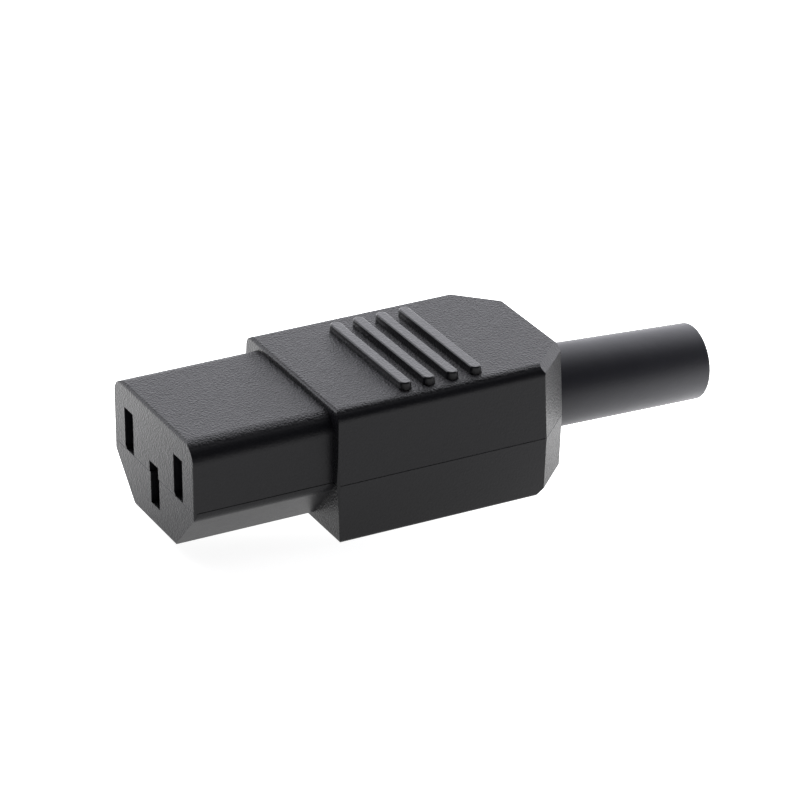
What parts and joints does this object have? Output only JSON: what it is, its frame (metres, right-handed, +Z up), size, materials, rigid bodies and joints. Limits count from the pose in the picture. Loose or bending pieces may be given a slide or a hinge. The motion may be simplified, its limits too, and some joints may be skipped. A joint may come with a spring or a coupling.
{
  "type": "c13 power connector",
  "caption": "Rewireable IEC C13 mains connector: keyed nose with three apertures, ribbed grip body and a soft cord sleeve.",
  "frame": {"origin": "centre of the engagement face, midway in height between the line and neutral row and the earth contact", "axes": "+X from the engagement face to the cord sleeve, +Y to the line side, +Z up"},
  "size_m": [0.0746, 0.0256, 0.0182],
  "materials": {
    "shell_plastic": "fine spark-eroded matte moulding",
    "sleeve_pvc": "smooth satin flexible PVC",
    "contact_brass": "bright folded strip",
    "washer_brass": "stamped, slightly dull",
    "screw_steel": "zinc plated",
    "clamp_plastic": "plain moulded"
  },
  "bodies": {
    "root": {"upper_shell": "shell_plastic", "lower_shell": "shell_plastic", "line_contact": "contact_brass", "neutral_contact": "contact_brass", "earth_contact": "contact_brass", "line_terminal_screw": "screw_steel", "neutral_terminal_screw": "screw_steel", "earth_terminal_screw": "screw_steel", "line_wire_washer": "washer_brass", "neutral_wire_washer": "washer_brass", "earth_wire_washer": "washer_brass", "cord_clamp": "clamp_plastic", "cord_clamp_screw_line_side": "screw_steel", "cord_clamp_screw_neutral_side": "screw_steel", "case_screw_line_side": "screw_steel", "case_screw_neutral_side": "screw_steel", "cord_sleeve": "sleeve_pvc"}
  },
  "joints": []
}
